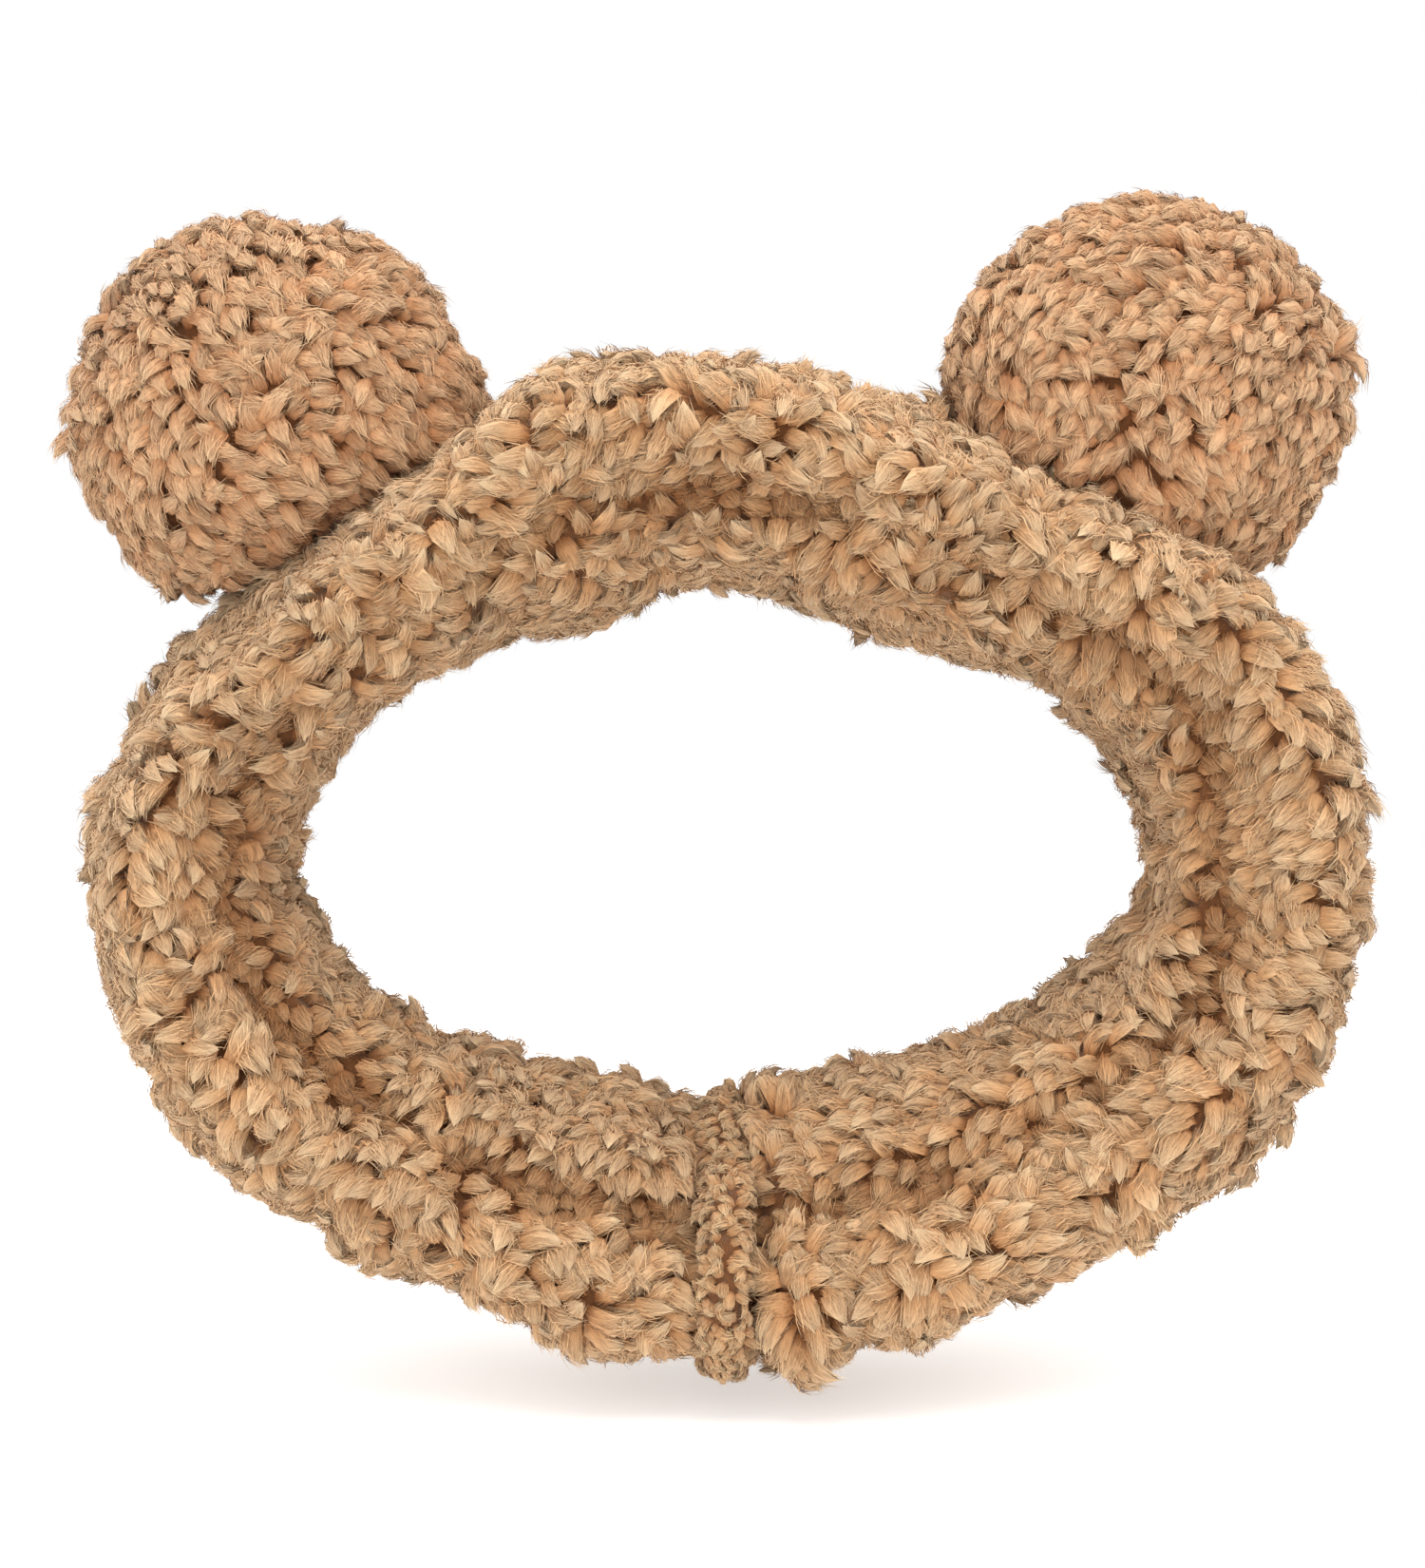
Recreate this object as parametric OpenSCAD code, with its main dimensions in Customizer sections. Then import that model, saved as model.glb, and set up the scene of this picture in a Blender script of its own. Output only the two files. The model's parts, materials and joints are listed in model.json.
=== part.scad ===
// Bear-ear headband: a plush fabric tube gathered on an elastic ring, with two stuffed ears.
// It stands upright as it is worn: +Z up, the head opening's axis along Y, the front towards -Y.
// The origin is the middle of the head opening. All sizes are millimetres.

/* [Head opening] */
// Width of the relaxed opening, side to side
opening_w = 164; // [137:1:197]
// Height of the relaxed opening
opening_h = 108; // [90:1:130]

/* [Band] */
// Width of the band, front to back
band_w = 76; // [63:1:92]
// Thickness of the band with its pile, from the head outwards
band_t = 44; // [36:1:53]
// Rounding of the band's long edges
band_edge_r = 19; // [15:0.5:21]
// Thickness of the plush fabric with its pile
band_wall = 9; // [7:0.5:11]
// How far the two long seams lie inwards of the middle of the thickness
seam_offset = 6.5; // [0:0.5:9]
// Gap between the band's two cut ends, where the tube is closed into a ring
end_gap = 2.4; // [2:0.1:4]

/* [Seams] */
// How deep the thread of a long seam or an ear's edge seam lies under the pile's surface
seam_depth = 5.5; // [4:0.5:5.5]
// Width of the crease over such a seam, at the pile's surface
crease_w = 4; // [2.5:0.5:6]
// Diameter of the sewing thread
thread_d = 1.2; // [0.8:0.1:1.4]
// Clearance round a thread in the groove that it pulls into the fabric
thread_gap = 0.2; // [0.15:0.05:0.3]
// Gap between two fabric edges that are sewn together
panel_gap = 0.4; // [0.2:0.1:0.8]
// Length of one hand stitch
stitch_l = 4; // [2.5:0.5:5]
// Distance between the middles of two neighbouring hand stitches
stitch_pitch = 7; // [6:0.5:9]

/* [Elastic] */
// Width of the elastic webbing
elastic_w = 30; // [25:1:40]
// Thickness of the elastic webbing
elastic_t = 1.6; // [1:0.1:2.2]
// Length over which the two ends of the elastic lie on each other
lap_l = 24; // [18:1:30]
// Number of stitches along each of the two rows that sew the lap
lap_stitches = 5; // [3:1:6]
// Distance between those two rows
lap_row_gap = 12; // [8:1:16]
// How far those stitches stand proud of the webbing
lap_proud = 0.4; // [0.2:0.1:0.6]

/* [Join wrap] */
// Width of the strip that is wrapped round the join
wrap_w = 12; // [9:1:15]
// Thickness of that strip
wrap_t = 6; // [4.5:0.5:7.5]
// How far the strip stands proud of the band
wrap_proud = 1; // [0.5:0.5:2]
// Number of stitches that close the strip on the side of the head
wrap_stitches = 3; // [2:1:4]

/* [Ears] */
// Diameter of an ear
ear_d = 88; // [74:1:105]
// Thickness of an ear, front to back
ear_t = 52; // [44:1:62]
// Radius of the ear's rounded edge
ear_edge_r = 20; // [16:0.5:21]
// Thickness of the ear's plush fabric with its pile
ear_wall = 8; // [7:0.5:10]
// Thickness of the fabric that is turned in at the ear's base
ear_base_wall = 4; // [3:0.5:5]
// Height of the ear's middle above the band's outer surface
ear_rise = 15.5; // [13:0.5:18.5]
// Lean of the left ear outwards from upright, in degrees
ear_left_tilt = 32.5; // [27:0.5:39]
// Lean of the right ear outwards from upright, in degrees
ear_right_tilt = 30; // [25:0.5:36]
// Gap between the ear's base and the band
ear_gap = 0.6; // [0.5:0.1:1.2]
// How far an ear can be bent forwards or backwards, in degrees
ear_flop = 15; // [12:1:17]
// Stitches along each side of an ear's base
base_stitches = 6; // [4:1:7]
// Distance of those stitches from the middle of the ear's base
base_stitch_y = 8; // [7.5:0.5:10]
// Slope of the ear's base beyond its bend, in degrees, which leaves room for those stitches
base_room = 9; // [9:1:14]

/* [Hidden] */
$fn = 96;

band_colour = [0.76, 0.59, 0.42];
wrap_colour = [0.71, 0.53, 0.36];
ear_colour = [0.78, 0.58, 0.41];
thread_colour = [0.58, 0.41, 0.26];
elastic_colour = [0.93, 0.91, 0.86];
filling_colour = [0.97, 0.96, 0.93];

// clearance between soft pieces that lie inside each other
inner_gap = 0.3;
// long enough to cut through anything
reach = 400;

// the band's centre line is an oval of four arcs, two at the sides and two at top and bottom,
// which meet on the rays of a 3-4-5 triangle, so that all centres and radii are round numbers
line_a = (opening_w + band_t) / 2;
line_b = (opening_h + band_t) / 2;
meet_x = 0.6;
meet_y = 0.8;
meet = atan2(meet_y, meet_x);
side_x = 1.5 * (line_a - line_b);
side_r = line_a - side_x;
long_y = 2 * (line_a - line_b);
long_r = line_b + long_y;

edge_r = min(band_edge_r, band_t / 2 - 0.5);
groove_r = thread_d / 2 + thread_gap;
ear_a = ear_d / 2;
ear_b = ear_t / 2;
// the base slopes up on both sides, so that the ear clears the band at both ends of its travel
base_slope = ear_flop + base_room;
// the edge seam stops short of where it would come out of the ear's base
seam_end = asin((ear_rise - ear_gap - thread_d) / (ear_a - seam_depth)) - 1;
half_wrap = wrap_w / 2 + inner_gap;
// how deep the wrap pulls the band in
pinch = wrap_t - wrap_proud;

// centre of the arc whose outward normal points at angle t, from 0 on the right to 180 on the left
function arc_centre(t) = t < meet ? [side_x, 0] : t > 180 - meet ? [-side_x, 0] : [0, -long_y];
function arc_radius(t) = t < meet || t > 180 - meet ? side_r : long_r;
// the same arc's radius on the band's outer surface
function outer_radius(t) = arc_radius(t) + band_t / 2;
// the angle t where the next arc starts, going up in t or down
function next_arc(t, up) = up ? (t < meet ? meet : 180 - meet) : (t > 180 - meet ? 180 - meet : meet);
// the normal angle reached by going s along the band's outer surface from angle t
function walk(t, s) =
    let (bound = next_arc(t, s > 0))
    let (room = (bound - t) * outer_radius(t) * PI / 180)
    s * room < 0 || abs(s) <= abs(room)
        ? t + s / outer_radius(t) * 180 / PI
        : bound + (s - room) / outer_radius(bound + sign(s)) * 180 / PI;

// turns pieces that are drawn flat, with their front upwards, into the upright place
module upright()
    rotate([90, 0, 0])
        children();

// a rectangle with round corners, w along x and h along y
module rounded(w, h, r) {
    square([w - 2 * r, h], center = true);
    square([w, h - 2 * r], center = true);
    for (x = [-1, 1], y = [-1, 1])
        translate([x * (w / 2 - r), y * (h / 2 - r)])
            circle(r = r);
}

// an oval of four arcs, 2a along x and 2b along y, with end arcs of radius r
module oval(a, b, r) {
    big = (a * a + b * b - 2 * a * r) / (2 * (b - r));
    turn = atan2(big - b, a - r);
    for (x = [-1, 1])
        translate([x * (a - r), 0])
            circle(r = r);
    intersection() {
        translate([0, b - big])
            circle(r = big);
        translate([0, big - b])
            circle(r = big);
        square([2 * big * cos(turn), 2 * b], center = true);
    }
}

// sweeps a section round a whole circle; the section's x is its distance outwards from the centre line
module ring(x, y, radius)
    translate([x, y, 0])
        rotate_extrude()
            translate([radius, 0])
                children();

// the space between two rays that leave a point towards the right, side = 1, or the left, side = -1
module side_wedge(side)
    linear_extrude(reach, center = true)
        polygon([
            [side * side_x, 0],
            [side * (side_x + meet_x * reach), meet_y * reach],
            [side * (side_x + meet_x * reach), -meet_y * reach]
        ]);

// the same above the centre, side = 1, or below it, side = -1
module long_wedge(side)
    linear_extrude(reach, center = true)
        polygon([
            [0, -side * long_y],
            [meet_x * reach, side * (meet_y * reach - long_y)],
            [-meet_x * reach, side * (meet_y * reach - long_y)]
        ]);

// sweeps a section along the top or the bottom arc
module long_arc(side)
    intersection() {
        ring(0, -side * long_y, long_r)
            children();
        long_wedge(side);
    }

// sweeps a section along the arc at one side
module side_arc(side)
    intersection() {
        ring(side * side_x, 0, side_r)
            children();
        side_wedge(side);
    }

// sweeps a section all round the band, open over half_gap on both sides of the bottom
module round_band(half_gap)
    difference() {
        union() {
            side_arc(1)
                children();
            long_arc(1)
                children();
            side_arc(-1)
                children();
            long_arc(-1)
                children();
        }
        translate([0, -reach / 2, 0])
            cube([2 * half_gap, reach, reach], center = true);
    }

// sweeps a section along the bottom of the band only
module at_join(half_length)
    intersection() {
        ring(0, long_y, long_r)
            children();
        translate([0, -reach / 2, 0])
            cube([2 * half_length, reach, reach], center = true);
    }

// moves pieces to the band's surface at normal angle t, at a distance outwards of the centre line
module on_band(t, out)
    translate([arc_centre(t)[0], arc_centre(t)[1], 0])
        rotate([0, 0, t - 90])
            translate([0, arc_radius(t) + out, 0])
                children();

// the band's section, drawn in by inset on every side
module band_section(inset)
    rounded(band_t - 2 * inset, band_w - 2 * inset, max(edge_r - inset, 1));

// the place of a long seam's thread in the section; side is 1 at the front and -1 at the back
module seam_place(side)
    translate([-seam_offset, side * (band_w / 2 - seam_depth)])
        children();

// the cut that a seam pulls into the pile: a round groove for the thread and an open crease over it
module seam_cut(side) {
    circle(r = groove_r);
    polygon([
        [-groove_r, 0],
        [groove_r, 0],
        [crease_w / 2, side * (seam_depth + 1)],
        [-crease_w / 2, side * (seam_depth + 1)]
    ]);
}

// all that is cut out of the plush tube before it is split into its two panels
module tube_cuts() {
    at_join(half_wrap)
        difference() {
            square([2 * band_t, 2 * band_w], center = true);
            band_section(pinch);
        }
}

// half of the plush tube: side is 1 for the panel that faces out and -1 for the one at the head
module half_tube(side)
    difference() {
        round_band(end_gap / 2)
            difference() {
                band_section(0);
                band_section(band_wall);
                for (end = [-1, 1])
                    seam_place(end)
                        seam_cut(end);
                translate([side * (panel_gap / 2 - band_t) - seam_offset, 0])
                    square([2 * band_t, 2 * band_w], center = true);
            }
        tube_cuts();
    }

module band_outer_panel()
    color(band_colour)
        upright()
            half_tube(1);

module band_inner_panel()
    color(band_colour)
        upright()
            half_tube(-1);

// the thread of a long seam, which stops short of the wrap
module long_seam(side)
    color(thread_colour)
        upright()
            round_band(half_wrap + stitch_l / 2)
                seam_place(side)
                    circle(d = thread_d);

module band_front_seam()
    long_seam(1);

module band_back_seam()
    long_seam(-1);

// the loop of thread that closes the tube's two ends on each other
module band_end_seam()
    color(thread_colour)
        upright()
            translate([0, -line_b, 0])
                rotate([90, 0, 90])
                    linear_extrude(thread_d, center = true)
                        difference() {
                            band_section(pinch + inner_gap);
                            band_section(pinch + inner_gap + thread_d);
                        }

// the elastic's own section, grown by grow on every side
module elastic_section(grow)
    square([elastic_t + 2 * grow, elastic_w + 2 * grow], center = true);

// the second layer of the elastic, where its ends lie on each other
module elastic_lap(grow)
    at_join(lap_l / 2 + grow)
        translate([elastic_t, 0])
            elastic_section(grow);

// the stitches through the lap, in two rows across the webbing
module lap_stitching(grow, proud)
    for (row = [-1, 1], i = [0 : lap_stitches - 1]) {
        y = (i - (lap_stitches - 1) / 2) * elastic_w / lap_stitches;
        translate([row * lap_row_gap / 2, -line_b - elastic_t / 2, y])
            rotate([90, 0, 0])
                cylinder(h = 2 * (elastic_t + proud), r = thread_d / 2 + grow, center = true);
    }

module band_elastic()
    color(elastic_colour)
        upright()
            difference() {
                union() {
                    round_band(lap_l / 2)
                        elastic_section(0);
                    at_join(lap_l / 2)
                        elastic_section(0);
                    elastic_lap(0);
                }
                lap_stitching(thread_gap, 1);
            }

module elastic_join_stitches()
    color(thread_colour)
        upright()
            lap_stitching(0, lap_proud);

// soft wadding round the elastic, with room for the elastic and for its stitched lap
module band_filling()
    color(filling_colour)
        upright()
            difference() {
                round_band(end_gap / 2)
                    difference() {
                        band_section(band_wall + inner_gap);
                        elastic_section(inner_gap);
                    }
                at_join(lap_l / 2 + inner_gap)
                    translate([elastic_t / 2, 0])
                        square([2 * (elastic_t + lap_proud + inner_gap), elastic_w + 2 * inner_gap], center = true);
            }

// the stitches that close the wrap on the side of the head
module wrap_stitching(grow)
    for (i = [0 : wrap_stitches - 1]) {
        x = (i - (wrap_stitches - 1) / 2) * wrap_w / wrap_stitches;
        translate([x, -line_b + band_t / 2 - pinch + wrap_t / 2, 0])
            cylinder(h = stitch_l + 2 * grow, r = thread_d / 2 + grow, center = true);
    }

module join_wrap()
    color(wrap_colour)
        upright()
            difference() {
                at_join(wrap_w / 2)
                    difference() {
                        rounded(band_t + 2 * wrap_proud, band_w + 2 * wrap_proud, edge_r + wrap_proud);
                        band_section(pinch - inner_gap);
                        translate([-reach / 2, 0])
                            square([reach, panel_gap], center = true);
                    }
                wrap_stitching(thread_gap);
            }

module join_wrap_stitches()
    color(thread_colour)
        upright()
            wrap_stitching(0);

// moves an ear from its own middle to its place at normal angle t
module at_ear(t)
    upright()
        on_band(t, band_t / 2 + ear_rise)
            children();

// the space below the ear's base, lift above the gap to the band; its two faces meet at the hinge line
module below_base(lift)
    for (side = [-1, 1])
        translate([0, ear_gap + lift - ear_rise, 0])
            rotate([side * base_slope, 0, 0])
                translate([0, -reach / 2, 0])
                    cube([reach, reach, reach], center = true);

// the stuffed shape of an ear, drawn in by inset, with its base lifted by lift
module ear_shape(inset, lift)
    difference() {
        rotate_extrude()
            intersection() {
                oval(ear_a - inset, ear_b - inset, ear_edge_r - inset);
                translate([0, -ear_b])
                    square([ear_a, 2 * ear_b]);
            }
        below_base(lift);
    }

// sweeps a section round the ear's edge, at the thread between its two panels
module edge_ring(cut)
    rotate([0, 0, -cut])
        rotate_extrude(angle = 180 + 2 * cut)
            translate([ear_a - seam_depth, 0])
                children();

// one face of an ear's cover: side is 1 for the front and -1 for the back
module ear_panel(side)
    color(ear_colour)
        difference() {
            ear_shape(0, 0);
            ear_shape(ear_wall, ear_base_wall);
            edge_ring(90)
                rotate([0, 0, -90])
                    seam_cut(1);
            translate([0, 0, side * (panel_gap / 2 - reach / 2)])
                cube([reach, reach, reach], center = true);
        }

module ear_edge_seam()
    color(thread_colour)
        edge_ring(seam_end)
            circle(d = thread_d);

module ear_filling()
    color(filling_colour)
        ear_shape(ear_wall + inner_gap, ear_base_wall + inner_gap);

// two rows of stitches that lie on the band, on both sides of the base of the ear at normal angle t
module ear_base_stitches(t)
    color(thread_colour)
        upright()
            for (i = [0 : base_stitches - 1], side = [-1, 1]) {
                step = (i - (base_stitches - 1) / 2) * stitch_pitch;
                on_band(walk(t, step), band_t / 2 + thread_gap + thread_d / 2)
                    translate([0, 0, side * base_stitch_y])
                        rotate([0, 90, 0])
                            cylinder(h = stitch_l, d = thread_d, center = true);
            }

module ear_left_front_panel()
    at_ear(90 + ear_left_tilt)
        ear_panel(1);

module ear_left_back_panel()
    at_ear(90 + ear_left_tilt)
        ear_panel(-1);

module ear_left_edge_seam()
    at_ear(90 + ear_left_tilt)
        ear_edge_seam();

module ear_left_filling()
    at_ear(90 + ear_left_tilt)
        ear_filling();

module ear_left_base_stitches()
    ear_base_stitches(90 + ear_left_tilt);

module ear_right_front_panel()
    at_ear(90 - ear_right_tilt)
        ear_panel(1);

module ear_right_back_panel()
    at_ear(90 - ear_right_tilt)
        ear_panel(-1);

module ear_right_edge_seam()
    at_ear(90 - ear_right_tilt)
        ear_edge_seam();

module ear_right_filling()
    at_ear(90 - ear_right_tilt)
        ear_filling();

module ear_right_base_stitches()
    ear_base_stitches(90 - ear_right_tilt);

band_outer_panel();
band_inner_panel();
band_front_seam();
band_back_seam();
band_end_seam();
band_filling();
band_elastic();
elastic_join_stitches();
join_wrap();
join_wrap_stitches();
ear_left_front_panel();
ear_left_back_panel();
ear_left_edge_seam();
ear_left_filling();
ear_left_base_stitches();
ear_right_front_panel();
ear_right_back_panel();
ear_right_edge_seam();
ear_right_filling();
ear_right_base_stitches();
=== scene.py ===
"""Plush bear-ear headband: fur-covered elastic tube with a wrapped join and two stuffed ears."""

import json
import logging
import math
from dataclasses import dataclass, field
from enum import Enum

import bmesh
import bpy
import numpy as np
from mathutils import Matrix, Vector, noise


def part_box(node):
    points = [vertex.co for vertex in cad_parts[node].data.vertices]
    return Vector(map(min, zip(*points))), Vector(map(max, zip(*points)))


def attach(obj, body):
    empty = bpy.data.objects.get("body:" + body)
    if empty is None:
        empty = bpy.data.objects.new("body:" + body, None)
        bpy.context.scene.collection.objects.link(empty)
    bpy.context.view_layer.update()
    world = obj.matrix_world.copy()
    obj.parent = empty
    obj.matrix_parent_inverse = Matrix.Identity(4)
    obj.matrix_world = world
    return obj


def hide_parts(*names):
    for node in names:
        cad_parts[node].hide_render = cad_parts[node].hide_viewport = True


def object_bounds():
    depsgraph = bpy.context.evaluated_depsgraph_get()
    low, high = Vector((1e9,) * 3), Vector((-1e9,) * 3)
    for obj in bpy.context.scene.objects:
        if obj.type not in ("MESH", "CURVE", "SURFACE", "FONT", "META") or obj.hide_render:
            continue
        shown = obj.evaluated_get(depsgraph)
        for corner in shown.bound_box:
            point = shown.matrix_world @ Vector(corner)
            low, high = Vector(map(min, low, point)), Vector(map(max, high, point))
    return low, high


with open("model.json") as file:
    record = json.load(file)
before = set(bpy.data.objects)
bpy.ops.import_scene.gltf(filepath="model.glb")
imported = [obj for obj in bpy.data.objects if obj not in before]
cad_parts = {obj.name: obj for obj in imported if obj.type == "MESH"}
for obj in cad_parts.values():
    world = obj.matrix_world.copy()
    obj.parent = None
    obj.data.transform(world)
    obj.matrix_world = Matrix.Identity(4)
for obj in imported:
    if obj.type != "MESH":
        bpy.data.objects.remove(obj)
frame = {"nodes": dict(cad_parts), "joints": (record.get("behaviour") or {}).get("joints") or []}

CAD_BOX = [list(corner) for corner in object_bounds()]
LOG = logging.getLogger("headband")
MM = 0.001
UP = Vector((0.0, 0.0, 1.0))
FRAME_W, FRAME_H = 1500, 1650


def srgb(code: str) -> tuple[float, float, float, float]:
    """Turn an sRGB hex colour into linear values.

    Args:
        code: Six hex digits after a hash sign.

    Returns:
        Linear red, green, blue and an alpha of 1.
    """
    parts = [int(code[i : i + 2], 16) / 255 for i in (1, 3, 5)]
    lin = [p / 12.92 if p <= 0.04045 else ((p + 0.055) / 1.055) ** 2.4 for p in parts]
    return (*lin, 1.0)


def add_node(tree: bpy.types.NodeTree, kind: str, settings: dict | None = None, links: dict | None = None):
    """Add one shader node.

    Args:
        tree: The node tree that gets the node.
        kind: Blender's name for the node type.
        settings: Attributes of the node, or input values where the name is an input.
        links: Input name or number to the output socket that feeds it.

    Returns:
        The new node.
    """
    node = tree.nodes.new(kind)
    for key, value in (settings or {}).items():
        if isinstance(key, int) or key in node.inputs:
            node.inputs[key].default_value = value
        else:
            setattr(node, key, value)
    for key, socket in (links or {}).items():
        tree.links.new(socket, node.inputs[key])
    return node


def fresh_material(name: str) -> tuple[bpy.types.Material, bpy.types.NodeTree]:
    """Make a material with an empty node tree.

    Args:
        name: Name of the material.

    Returns:
        The material and its node tree.
    """
    material = bpy.data.materials.new(name)
    material.use_nodes = True
    material.node_tree.nodes.clear()
    return material, material.node_tree


def ramp(tree: bpy.types.NodeTree, source, stops: list[tuple[float, str]]):
    """Add a colour ramp.

    Args:
        tree: The node tree.
        source: Socket that drives the ramp.
        stops: Places from 0 to 1 with their hex colours.

    Returns:
        The ramp's colour socket.
    """
    node = add_node(tree, "ShaderNodeValToRGB", links={"Fac": source})
    elements = node.color_ramp.elements
    while len(elements) < len(stops):
        elements.new(0.5)
    for element, (place, code) in zip(elements, stops):
        element.position = place
        element.color = srgb(code)
    return node.outputs["Color"]


@dataclass(frozen=True)
class PlushFinish:
    """Polyester sherpa fleece: brushed, curled pile, matt, with painted shade that makes it darker at its roots than at
    its tips.
    """

    name: str
    root: str
    middle: str
    tip: str
    # Painted shade: the dark backing colour stands for the shade between the locks, down at their roots.
    backing: str = "#6E4528"
    fibre_dark: str = "#8A8A8A"
    fibre_pale: str = "#E2E2E2"
    sheen: float = 0.35
    fibres: float = 420.0
    glow: float = 0.0

    def build(self) -> bpy.types.Material:
        """Make the material.

        Returns:
            A material that reads the pile's own map: across it the fibres, up it the height in the pile.
        """
        material, tree = fresh_material(self.name)
        place = add_node(tree, "ShaderNodeUVMap", {"uv_map": "OFBake"})
        parts = add_node(tree, "ShaderNodeSeparateXYZ", links={0: place.outputs["UV"]})
        across, height = parts.outputs["X"], parts.outputs["Y"]
        # Painted shade: the colour runs from dark at the backing and roots to pale at the tips, standing for the shade
        # deep in the pile.
        body = ramp(tree, height, [(0.0, self.backing), (0.1, self.root), (0.45, self.middle), (1.0, self.tip)])
        stretch = add_node(
            tree,
            "ShaderNodeVectorMath",
            {"operation": "MULTIPLY", 1: (self.fibres, 5.0, 1.0)},
            {0: place.outputs["UV"]},
        )
        fine = add_node(
            tree, "ShaderNodeTexNoise", {"Scale": 1.0, "Detail": 2.0}, {"Vector": stretch.outputs["Vector"]}
        )
        stripes = add_node(
            tree,
            "ShaderNodeMapRange",
            {"From Min": 0.32, "From Max": 0.68, "To Min": -0.22, "To Max": 0.22},
            {"Value": fine.outputs["Fac"]},
        )
        both = add_node(
            tree,
            "ShaderNodeMath",
            {"operation": "MULTIPLY_ADD", 1: 0.7},
            {0: across, 2: stripes.outputs["Result"]},
        )
        tone = ramp(tree, both.outputs[0], [(0.0, self.fibre_dark), (0.35, "#BCBCBC"), (0.75, self.fibre_pale)])
        mixed = add_node(tree, "ShaderNodeMix", {"data_type": "RGBA", "blend_type": "OVERLAY"})
        mixed.inputs[0].default_value = 0.5
        first, second = [s for s in mixed.inputs if s.type == "RGBA"]
        tree.links.new(body, first)
        tree.links.new(tone, second)
        colour = next(s for s in mixed.outputs if s.type == "RGBA")
        bump = add_node(
            tree, "ShaderNodeBump", {"Strength": 0.8, "Distance": 0.5 * MM}, {"Height": fine.outputs["Fac"]}
        )
        shader = add_node(
            tree,
            "ShaderNodeBsdfPrincipled",
            {
                "Roughness": 0.95,
                "Specular IOR Level": 0.12,
                "Sheen Weight": self.sheen,
                "Sheen Roughness": 0.5,
                "Sheen Tint": srgb("#FFE9CF"),
                "Subsurface Weight": self.glow,
                "Subsurface Radius": (1.0, 0.6, 0.35),
                "Subsurface Scale": 2.5 * MM,
            },
            {"Base Color": colour, "Normal": bump.outputs["Normal"]},
        )
        add_node(tree, "ShaderNodeOutputMaterial", links={"Surface": shader.outputs["BSDF"]})
        return material


@dataclass(frozen=True)
class ThreadFinish:
    """Spun polyester sewing thread: two plies laid round each other."""

    name: str
    colour: str

    def build(self) -> bpy.types.Material:
        """Make the material.

        Returns:
            A matt material with the fine ridges of the plies.
        """
        material, tree = fresh_material(self.name)
        place = add_node(tree, "ShaderNodeTexCoord")
        plies = add_node(
            tree,
            "ShaderNodeTexWave",
            {"Scale": 1 / (0.4 * MM) / 20, "Distortion": 1.0, "bands_direction": "DIAGONAL"},
            {"Vector": place.outputs["Object"]},
        )
        colour = ramp(tree, plies.outputs["Fac"], [(0.0, "#6E4B2C"), (1.0, self.colour)])
        bump = add_node(
            tree, "ShaderNodeBump", {"Strength": 0.4, "Distance": 0.1 * MM}, {"Height": plies.outputs["Fac"]}
        )
        shader = add_node(
            tree,
            "ShaderNodeBsdfPrincipled",
            {"Roughness": 0.7, "Sheen Weight": 0.2},
            {"Base Color": colour, "Normal": bump.outputs["Normal"]},
        )
        add_node(tree, "ShaderNodeOutputMaterial", links={"Surface": shader.outputs["BSDF"]})
        return material


@dataclass(frozen=True)
class Oval:
    """The band's centre line: four arcs that meet on the rays of a 3-4-5 triangle."""

    half_w: float
    half_h: float

    @property
    def side_x(self) -> float:
        """Centre of the side arcs."""
        return 1.5 * (self.half_w - self.half_h)

    @property
    def side_r(self) -> float:
        """Radius of the side arcs."""
        return self.half_w - self.side_x

    @property
    def long_z(self) -> float:
        """How far the centres of the long arcs lie beyond the middle."""
        return 2.0 * (self.half_w - self.half_h)

    @property
    def long_r(self) -> float:
        """Radius of the long arcs."""
        return self.half_h + self.long_z

    def arcs(self) -> list[tuple[float, float, float, float, float]]:
        """List the arcs from the bottom, anticlockwise seen from the front.

        Returns:
            Centre x and z, radius, first and last angle of each arc.
        """
        meet = math.atan2(0.8, 0.6)
        half = math.pi / 2
        return [
            (0.0, self.long_z, self.long_r, -half, -meet),
            (self.side_x, 0.0, self.side_r, -meet, meet),
            (0.0, -self.long_z, self.long_r, meet, math.pi - meet),
            (-self.side_x, 0.0, self.side_r, math.pi - meet, math.pi + meet),
            (0.0, self.long_z, self.long_r, math.pi + meet, math.pi + half),
        ]

    def length(self) -> float:
        """Length of the whole centre line."""
        return sum(r * (b - a) for _, _, r, a, b in self.arcs())

    def locate(self, points: np.ndarray) -> tuple[np.ndarray, np.ndarray, np.ndarray]:
        """Find where points lie along the band.

        Args:
            points: N by 3 places.

        Returns:
            Distance along the centre line from the bottom, distance outwards from it, and outward angle.
        """
        x, z = points[:, 0], points[:, 2]
        side = (np.abs(x) - self.side_x) * 0.8 >= np.abs(z) * 0.6
        number = np.where(side, np.where(x > 0, 1, 3), np.where(z > 0, 2, np.where(x >= 0, 0, 4)))
        along, out, angle = np.zeros(len(x)), np.zeros(len(x)), np.zeros(len(x))
        start = 0.0
        for i, (cx, cz, r, a, b) in enumerate(self.arcs()):
            here = number == i
            t = np.arctan2(z[here] - cz, x[here] - cx)
            t = np.where(t < a - 1.0, t + 2 * math.pi, t)
            along[here] = start + r * (t - a)
            out[here] = np.hypot(x[here] - cx, z[here] - cz) - r
            angle[here] = t
            start += r * (b - a)
        return along, out, angle


def link(obj: bpy.types.Object) -> bpy.types.Object:
    """Put an object into the scene."""
    bpy.context.scene.collection.objects.link(obj)
    return obj


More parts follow.
